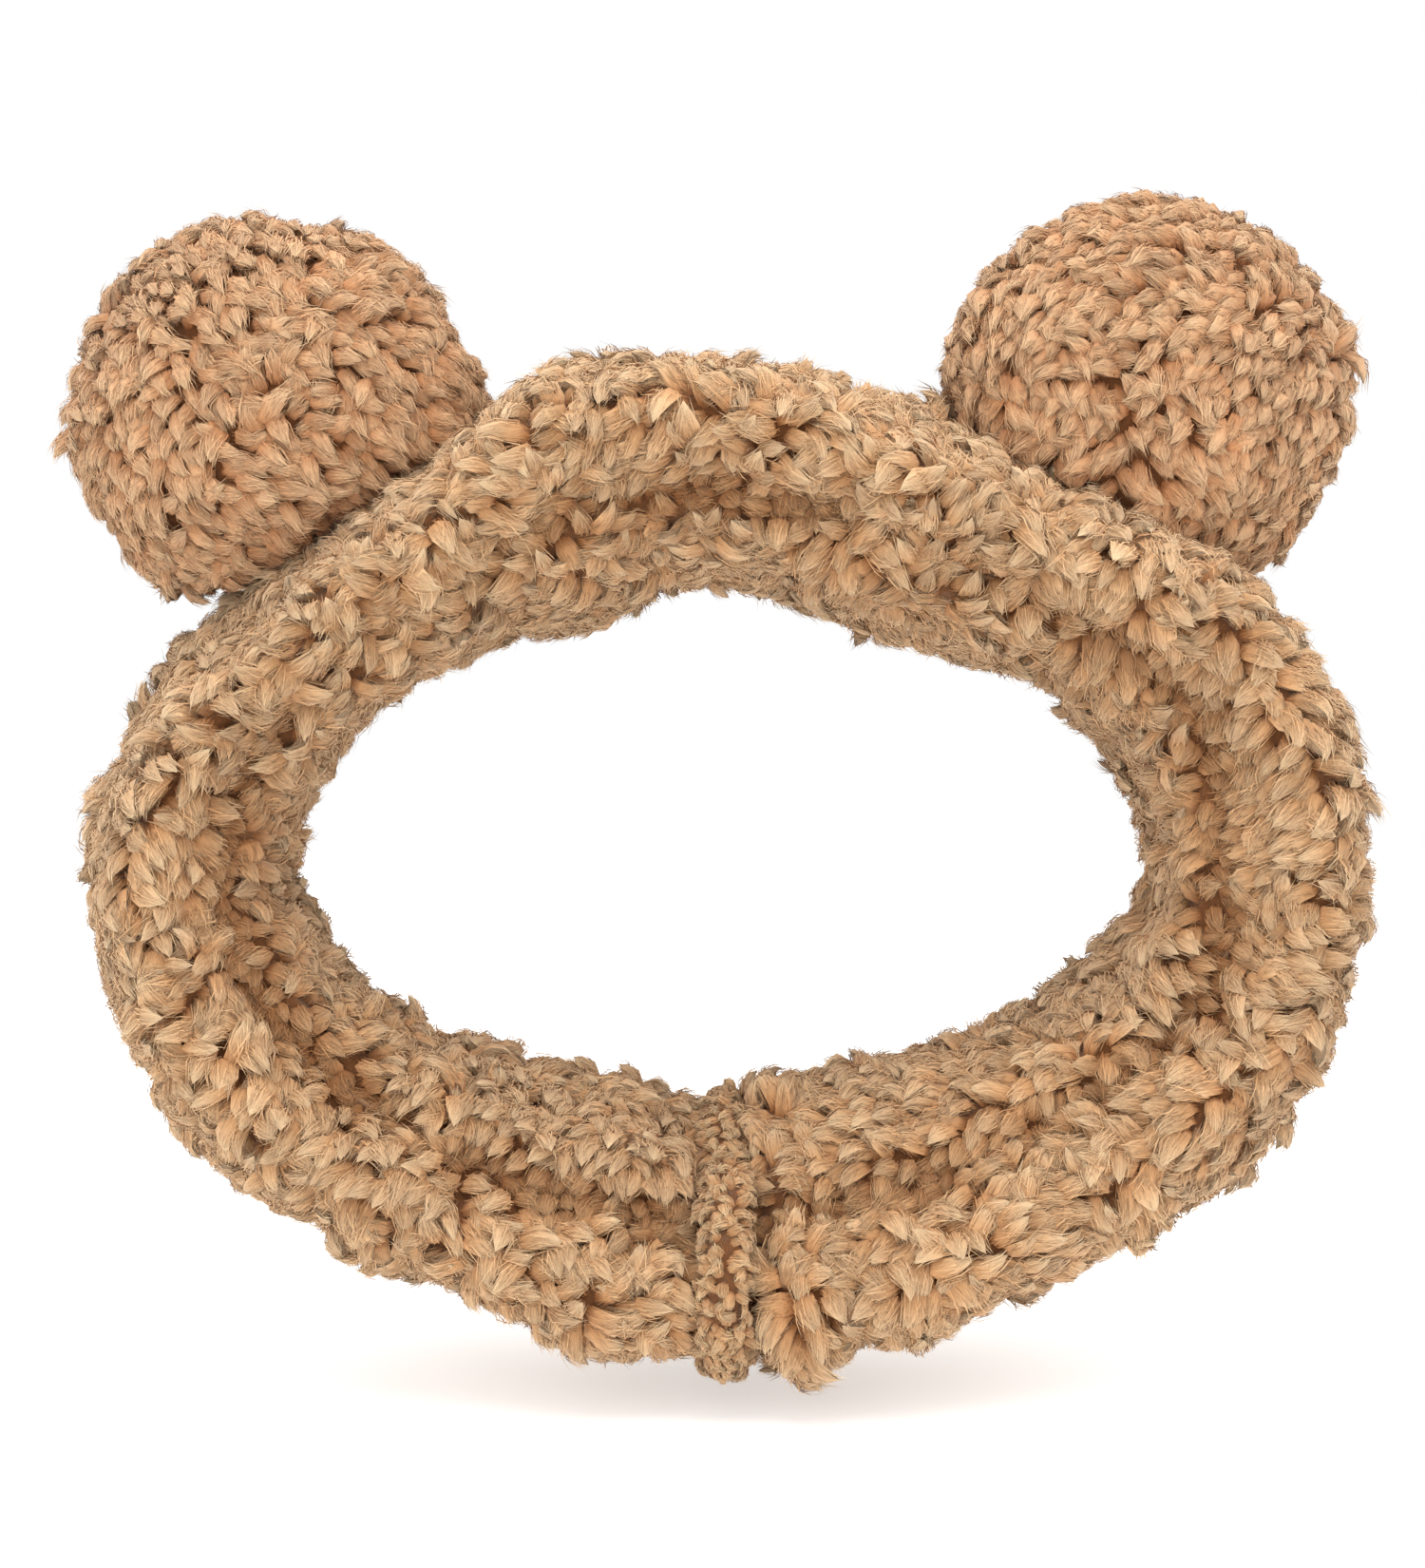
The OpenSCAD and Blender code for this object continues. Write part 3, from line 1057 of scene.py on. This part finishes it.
    def length(self, roots: np.ndarray) -> np.ndarray:
        """Shorten the pile in the seams and at the join, where grow() also paints it darker as painted shade in the
        creases.

        Args:
            roots: N by 3 places.

        Returns:
            Factors on the pile's length.
        """
        return (1 - 0.55 * self.seams_at(roots, 4.2 * MM)) * (1 - 0.6 * self.join_at(roots, 6 * MM, 4))

    def flow(self, roots: np.ndarray) -> np.ndarray:
        """Let the pile hang a little."""
        return np.tile((0.0, 0.0, -0.35), (len(roots), 1))

    def build_panels(self) -> None:
        """Make the two panels of the tube."""
        skin = self.skin()
        _, out, _ = self.oval.locate(face_centres(skin.data))
        for name, keep in (("outer", out > self.seam_out), ("inner", out <= self.seam_out)):
            panel = part_of(skin.data, f"band_{name}", keep)
            piece = self.plush.grow(f"band_{name}_plush", panel, self.flow, self.length)
            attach(piece, "band")
            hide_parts(f"band_{name}_panel")
        bpy.data.objects.remove(skin)

    def build_wadding(self) -> None:
        """Make the loose wadding that fills the tube."""
        bm = bmesh.new()
        self.section(bm, self.wadding_depth, 0.0, 24)
        self.sweep(bm, 6 * MM)
        co = self.warp(np.array([v.co for v in bm.verts]))
        co += waves(co, 9 * MM, 2.0) * 0.8 * MM
        for v, place in zip(bm.verts, co):
            v.co = place
        piece = object_from(bm, "band_wadding")
        piece.data.materials.append(self.wadding)
        piece.data.shade_smooth()
        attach(piece, "band")
        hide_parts("band_filling")

    def build_seam(self, name: str, end: int) -> None:
        """Make the thread of one long seam, at the bottom of its crease.

        Args:
            name: Front or back.
            end: -1 at the front, 1 at the back.
        """
        bm = bmesh.new()
        ring = bmesh.ops.create_circle(bm, segments=8, radius=self.thread_r)["verts"]
        fore = end * (self.width / 2 - self.skin_depth - self.crease + self.thread_r)
        for v in ring:
            v.co = (0.0, fore + v.co.x, -self.oval.half_h - self.seam_out + v.co.y)
        self.sweep(bm, 2 * MM)
        co = self.warp(self.draw_in(np.array([v.co for v in bm.verts])))
        for v, place in zip(bm.verts, co):
            v.co = place
        piece = object_from(bm, f"band_{name}_thread")
        piece.data.materials.append(self.thread)
        piece.data.shade_smooth()
        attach(piece, "band")
        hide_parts(f"band_{name}_seam")

    def build_wrap(self) -> None:
        """Make the narrow strip of short pile that is wrapped round the join."""
        bm = bmesh.new()
        ring = self.section(bm, 8 * MM, 0.0, 40)
        bm.faces.new(ring)
        steps = 6
        for k in range(steps + 1):
            place = 2 * k / steps - 1
            if k:
                edges = [e for e in bm.edges if all(v in ring for v in e.verts)]
                made = bmesh.ops.extrude_edge_only(bm, edges=edges)["geom"]
                new = {g for g in made if isinstance(g, bmesh.types.BMVert)}
                ring = [next(e.other_vert(v) for e in v.link_edges if e.other_vert(v) in new) for v in ring]
            depth = (2.6 + 5.4 * abs(place) ** 3) * MM
            for i, v in enumerate(ring):
                out, fore = self.profile(2 * math.pi * i / len(ring), depth, 0.0)
                v.co = (place * (self.wrap_w / 2 - 1 * MM), fore, -self.oval.half_h - out)
        bm.faces.new(ring)
        bmesh.ops.recalc_face_normals(bm, faces=bm.faces)
        skin = object_from(bm, "wrap_skin")
        inflate(skin, 2.5 * MM, 4.0, 1.5 * MM, lambda points: self.join_at(points, 100 * MM, 2))
        co = self.warp(coords(skin.data))
        co += waves(co, 12 * MM, 5.0) * 1.2 * MM
        skin.data.vertices.foreach_set("co", co.ravel())
        skin.data.update()
        sides = np.empty(len(skin.data.polygons) * 3)
        skin.data.polygons.foreach_get("normal", sides)
        strip = part_of(skin.data, "wrap_strip", np.abs(sides[::3]) < 0.9)
        piece = self.trim.grow("join_wrap_plush", strip, self.flow)
        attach(piece, "band")
        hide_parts("join_wrap")
        bpy.data.objects.remove(skin)

    def build_stitches(self, name: str) -> None:
        """Make one of the threads at the join, which moves with the worn-in tube.

        Args:
            name: The CAD node, whose thread is followed.
        """
        node = frame["nodes"][name]
        piece = link(bpy.data.objects.new(f"{name}_thread", node.data.copy()))
        piece.data.transform(node.matrix_world)
        _, out, angle = self.oval.locate(coords(piece.data))
        co = coords(piece.data)
        drawn = np.stack([np.cos(angle), np.zeros(len(co)), np.sin(angle)], 1) * (out * self.tuck)[:, None]
        drawn[:, 1] += co[:, 1] * self.tuck
        piece.data.vertices.foreach_set("co", self.warp(co - drawn).ravel())
        piece.data.materials.clear()
        piece.data.materials.append(self.thread)
        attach(piece, "band")
        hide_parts(name)

    def build(self) -> None:
        """Make every piece of the band."""
        self.build_panels()
        self.build_wadding()
        self.build_seam("front", -1)
        self.build_seam("back", 1)
        self.build_wrap()
        self.build_stitches("band_end_seam")
        self.build_stitches("join_wrap_stitches")


class Side(Enum):
    """Which ear, seen from the front."""

    LEFT = -1
    RIGHT = 1

    @property
    def drop(self) -> float:
        """How far the ear's front hangs down over the rim, which is drawn in there."""
        return 13 * MM if self is Side.LEFT else 12 * MM


@dataclass
class Ear:
    """One stuffed ear: a front and a back panel over its filling."""

    side: Side
    plush: Plush
    rise: float = 15.5 * MM
    skin_depth: float = 5.5 * MM
    base_slope: float = 24.0
    saddle: float = 100 * MM
    crease: float = 1.8 * MM

    def __post_init__(self) -> None:
        """Take the ear's size and place from the frame."""
        self.name = f"ear_{self.side.name.lower()}"
        joint = next(j for j in frame["joints"] if j["child"] == self.name)
        self.foot = Vector(joint["pos_m"])
        axis = Vector(joint["axis"])
        self.up = Vector((-axis.z, 0, axis.x)).normalized()
        self.along = Vector((self.up.z, 0, -self.up.x))
        low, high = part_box(f"{self.name}_front_panel")
        self.half_t = -low.y
        self.middle = self.foot + self.up * (self.rise - 0.6 * MM)
        self.radius = max(high.x - self.middle.x, self.middle.x - low.x)

    def local(self, points: np.ndarray) -> np.ndarray:
        """Turn places in the row frame into the ear's own: along, up from its middle, and front to back."""
        shift = points - np.array(self.middle)
        return np.stack([shift @ np.array(self.along), shift @ np.array(self.up), shift[:, 1]], 1)

    def skin(self) -> bpy.types.Object:
        """Spin the ear's section round its middle, flatten its base and stuff it.

        Returns:
            The stuffed skin.
        """
        bm = bmesh.new()
        bmesh.ops.create_uvsphere(bm, u_segments=48, v_segments=28, radius=1.0)
        radius, half_t = self.radius - self.skin_depth, self.half_t - self.skin_depth
        for v in bm.verts:
            flat = max(math.hypot(v.co.x, v.co.y), 1e-6)
            grow = radius * flat**-0.1
            x, y, z = v.co.x * grow, v.co.y * grow, math.copysign(abs(v.co.z) ** 0.92, v.co.z) * half_t
            y = max(y, self.floor(x, z))
            v.co = self.middle + self.along * x + self.up * y + Vector((0, z, 0))
        bmesh.ops.recalc_face_normals(bm, faces=bm.faces)
        obj = object_from(bm, f"{self.name}_skin")
        inflate(obj, 4.5 * MM, 4.0, 4 * MM, self.pins)
        co = coords(obj.data)
        spot = self.local(co)
        edge = np.exp(-((spot[:, 2] / (3.2 * MM)) ** 2)) * (spot[:, 1] > -self.rise + 8 * MM)
        outward = spot[:, :2] / np.maximum(np.linalg.norm(spot[:, :2], axis=1, keepdims=True), 1e-6)
        co -= (np.outer(outward[:, 0], self.along) + np.outer(outward[:, 1], self.up)) * (edge * self.crease)[:, None]
        lumps = waves(co, 24 * MM, 7.0 + self.side.value)
        co += lumps * 1.3 * MM
        obj.data.vertices.foreach_set("co", co.ravel())
        obj.data.update()
        return obj

    def floor(self, x, z):
        """Give the height of the ear's base, which sits astride the band and slopes up at the back for its bend.

        Args:
            x: Place along the band.
            z: Place from front to back.

        Returns:
            Height over the ear's middle.
        """
        back = np.maximum(z, 0) * math.tan(math.radians(self.base_slope))
        drop = self.side.drop * smoothstep((8 * MM - z) / (26 * MM))
        return back - drop - self.rise - x * x / (2 * self.saddle)

    def pins(self, points: np.ndarray) -> np.ndarray:
        """Say how firmly the edge seam and the base hold the skin's points."""
        spot = self.local(points)
        edge = np.exp(-((spot[:, 2] / (3 * MM)) ** 2)) * (np.hypot(spot[:, 0], spot[:, 1]) > 0.7 * self.radius)
        base = spot[:, 1] < self.floor(spot[:, 0], spot[:, 2]) + 3 * MM
        return np.clip(edge + base, 0, 1)

    def length(self, roots: np.ndarray) -> np.ndarray:
        """Shorten the pile at the base, where the ear bends; grow() also paints it darker there as painted shade."""
        spot = self.local(roots)
        return np.clip((spot[:, 1] - self.floor(spot[:, 0], spot[:, 2])) / (7 * MM), 0.4, 1.0)

    def flow(self, roots: np.ndarray) -> np.ndarray:
        """Brush the pile from the ear's top down towards the band."""
        return np.tile(-0.6 * np.array(self.up), (len(roots), 1))

    def build(self) -> None:
        """Make the front and back panels."""
        skin = self.skin()
        centres = face_centres(skin.data)
        for name, keep in (("front", centres[:, 1] < 0), ("back", centres[:, 1] >= 0)):
            panel = part_of(skin.data, f"{self.name}_{name}", keep)
            piece = self.plush.grow(f"{self.name}_{name}_plush", panel, self.flow, self.length)
            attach(piece, self.name)
            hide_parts(f"{self.name}_{name}_panel")
        bpy.data.objects.remove(skin)


@dataclass(frozen=True)
class WebbingFinish:
    """Woven elastic: ribs along its length over a fine weave."""

    name: str
    rib: float = 1.2 * MM

    def build(self) -> bpy.types.Material:
        """Make the material."""
        material, tree = fresh_material(self.name)
        place = add_node(tree, "ShaderNodeTexCoord")
        ribs = add_node(
            tree,
            "ShaderNodeTexWave",
            {"Scale": 1 / (20 * self.rib), "Distortion": 0.4, "bands_direction": "Y"},
            {"Vector": place.outputs["Object"]},
        )
        weave = add_node(tree, "ShaderNodeTexNoise", {"Scale": 1 / (0.8 * MM)}, {"Vector": place.outputs["Object"]})
        height = add_node(
            tree,
            "ShaderNodeMath",
            {"operation": "MULTIPLY_ADD", 1: 0.4},
            {0: weave.outputs["Fac"], 2: ribs.outputs["Fac"]},
        )
        colour = ramp(tree, height.outputs[0], [(0.2, "#D5CDBB"), (1.0, "#F4F1E8")])
        bump = add_node(tree, "ShaderNodeBump", {"Strength": 0.5, "Distance": 0.3 * MM}, {"Height": height.outputs[0]})
        shader = add_node(
            tree,
            "ShaderNodeBsdfPrincipled",
            {"Roughness": 0.75, "Sheen Weight": 0.15},
            {"Base Color": colour, "Normal": bump.outputs["Normal"]},
        )
        add_node(tree, "ShaderNodeOutputMaterial", links={"Surface": shader.outputs["BSDF"]})
        return material


@dataclass(frozen=True)
class WaddingFinish:
    """Polyester wadding: white, matt and cloudy."""

    name: str

    def build(self) -> bpy.types.Material:
        """Make the material."""
        material, tree = fresh_material(self.name)
        place = add_node(tree, "ShaderNodeTexCoord")
        cloud = add_node(
            tree, "ShaderNodeTexNoise", {"Scale": 1 / (6 * MM), "Detail": 6.0}, {"Vector": place.outputs["Object"]}
        )
        colour = ramp(tree, cloud.outputs["Fac"], [(0.3, "#E4DFD6"), (0.7, "#FAF8F3")])
        bump = add_node(tree, "ShaderNodeBump", {"Strength": 0.8, "Distance": 1 * MM}, {"Height": cloud.outputs["Fac"]})
        shader = add_node(
            tree,
            "ShaderNodeBsdfPrincipled",
            {"Roughness": 1.0, "Sheen Weight": 0.4},
            {"Base Color": colour, "Normal": bump.outputs["Normal"]},
        )
        add_node(tree, "ShaderNodeOutputMaterial", links={"Surface": shader.outputs["BSDF"]})
        return material


@dataclass
class Studio:
    """Camera, soft lights and a pale floor."""

    distance: float = 0.385
    look_x: float = -0.0027
    look_z: float = 0.0127
    scale_px: float = 1987.0
    ambient: float = 1.0
    key: float = 7.5
    fill: float = 3.0
    floor_glow: float = 0.4

    def camera(self) -> None:
        """Set the camera in front of the opening."""
        data = bpy.data.cameras.new("camera")
        data.sensor_width = 36.0
        data.lens = self.scale_px * data.sensor_width / max(FRAME_W, FRAME_H)
        data.clip_start = 0.01
        cam = link(bpy.data.objects.new("camera", data))
        cam.location = (self.look_x, -self.distance, self.look_z)
        cam.rotation_euler = (math.pi / 2, 0, 0)
        bpy.context.scene.camera = cam

    def light(self, name: str, place: tuple, size: float, power: float, target=(0, 0, 0.02)) -> None:
        """Add one soft area light.

        Args:
            name: Name of the light.
            place: Where it hangs.
            size: Width of its face.
            power: Watts.
            target: What it faces.
        """
        data = bpy.data.lights.new(name, "AREA")
        data.size = size
        data.energy = power
        lamp = link(bpy.data.objects.new(name, data))
        lamp.location = place
        lamp.rotation_euler = (Vector(target) - Vector(place)).to_track_quat("-Z", "Y").to_euler()

    def build(self) -> None:
        """Make the whole studio."""
        self.camera()
        world = bpy.data.worlds.new("studio")
        bpy.context.scene.world = world
        world.use_nodes = True
        background = world.node_tree.nodes["Background"]
        background.inputs["Color"].default_value = (1, 1, 1, 1)
        background.inputs["Strength"].default_value = self.ambient
        self.light("top_softbox", (0.05, -0.30, 0.80), 0.7, self.key)
        self.light("front_softbox", (-0.20, -0.95, 0.30), 0.8, self.fill)
        bm = bmesh.new()
        bmesh.ops.create_grid(bm, x_segments=1, y_segments=1, size=3.0)
        floor = object_from(bm, "studio_floor")
        low = CAD_BOX[0][2] - 10 * MM
        floor.data.transform(Matrix.Translation((0, 0, low)))
        material, tree = fresh_material("studio_white")
        shader = add_node(
            tree,
            "ShaderNodeBsdfPrincipled",
            {
                "Base Color": srgb("#F4F4F4"),
                "Roughness": 0.9,
                "Emission Color": srgb("#FFFFFF"),
                "Emission Strength": self.floor_glow,
            },
        )
        add_node(tree, "ShaderNodeOutputMaterial", links={"Surface": shader.outputs["BSDF"]})
        floor.data.materials.append(material)
        bpy.context.scene.view_settings.view_transform = "Standard"


def main() -> None:
    """Build the headband piece by piece."""
    logging.basicConfig(level=logging.INFO, format="%(message)s")
    band_finish = PlushFinish("sherpa_fleece_band", "#8A5832", "#B3885F", "#C8AA86").build()
    ear_finish = PlushFinish("sherpa_fleece_ear", "#8B542E", "#AE7E58", "#C8A580").build()
    wrap_finish = PlushFinish("sherpa_fleece_wrap", "#8A5832", "#B3885F", "#C4A680").build()
    thread = ThreadFinish("polyester_thread", "#9A7048").build()
    webbing = WebbingFinish("elastic_webbing").build()
    wadding = WaddingFinish("polyester_wadding").build()
    long_pile = Pile(2.35 * MM, 8.2 * MM, 4.7 * MM, curl=1.8, untidy=0.35)
    ear_pile = Pile(2.15 * MM, 7.2 * MM, 4.0 * MM, curl=1.8, untidy=0.35)
    short_pile = Pile(1.5 * MM, 3.6 * MM, 2.3 * MM, curl=1.9)
    Band(Plush(long_pile, band_finish, 11), Plush(short_pile, wrap_finish, 41), thread, wadding).build()
    for side, seed in ((Side.LEFT, 21), (Side.RIGHT, 31)):
        Ear(side, Plush(ear_pile, ear_finish, seed)).build()
    kinds = (("elastic", webbing), ("filling", wadding))
    for name, node in frame["nodes"].items():
        finish = next((material for word, material in kinds if name.endswith(word)), thread)
        node.data.materials.clear()
        node.data.materials.append(finish)
    Studio().build()


if __name__ == "__main__":
    main()
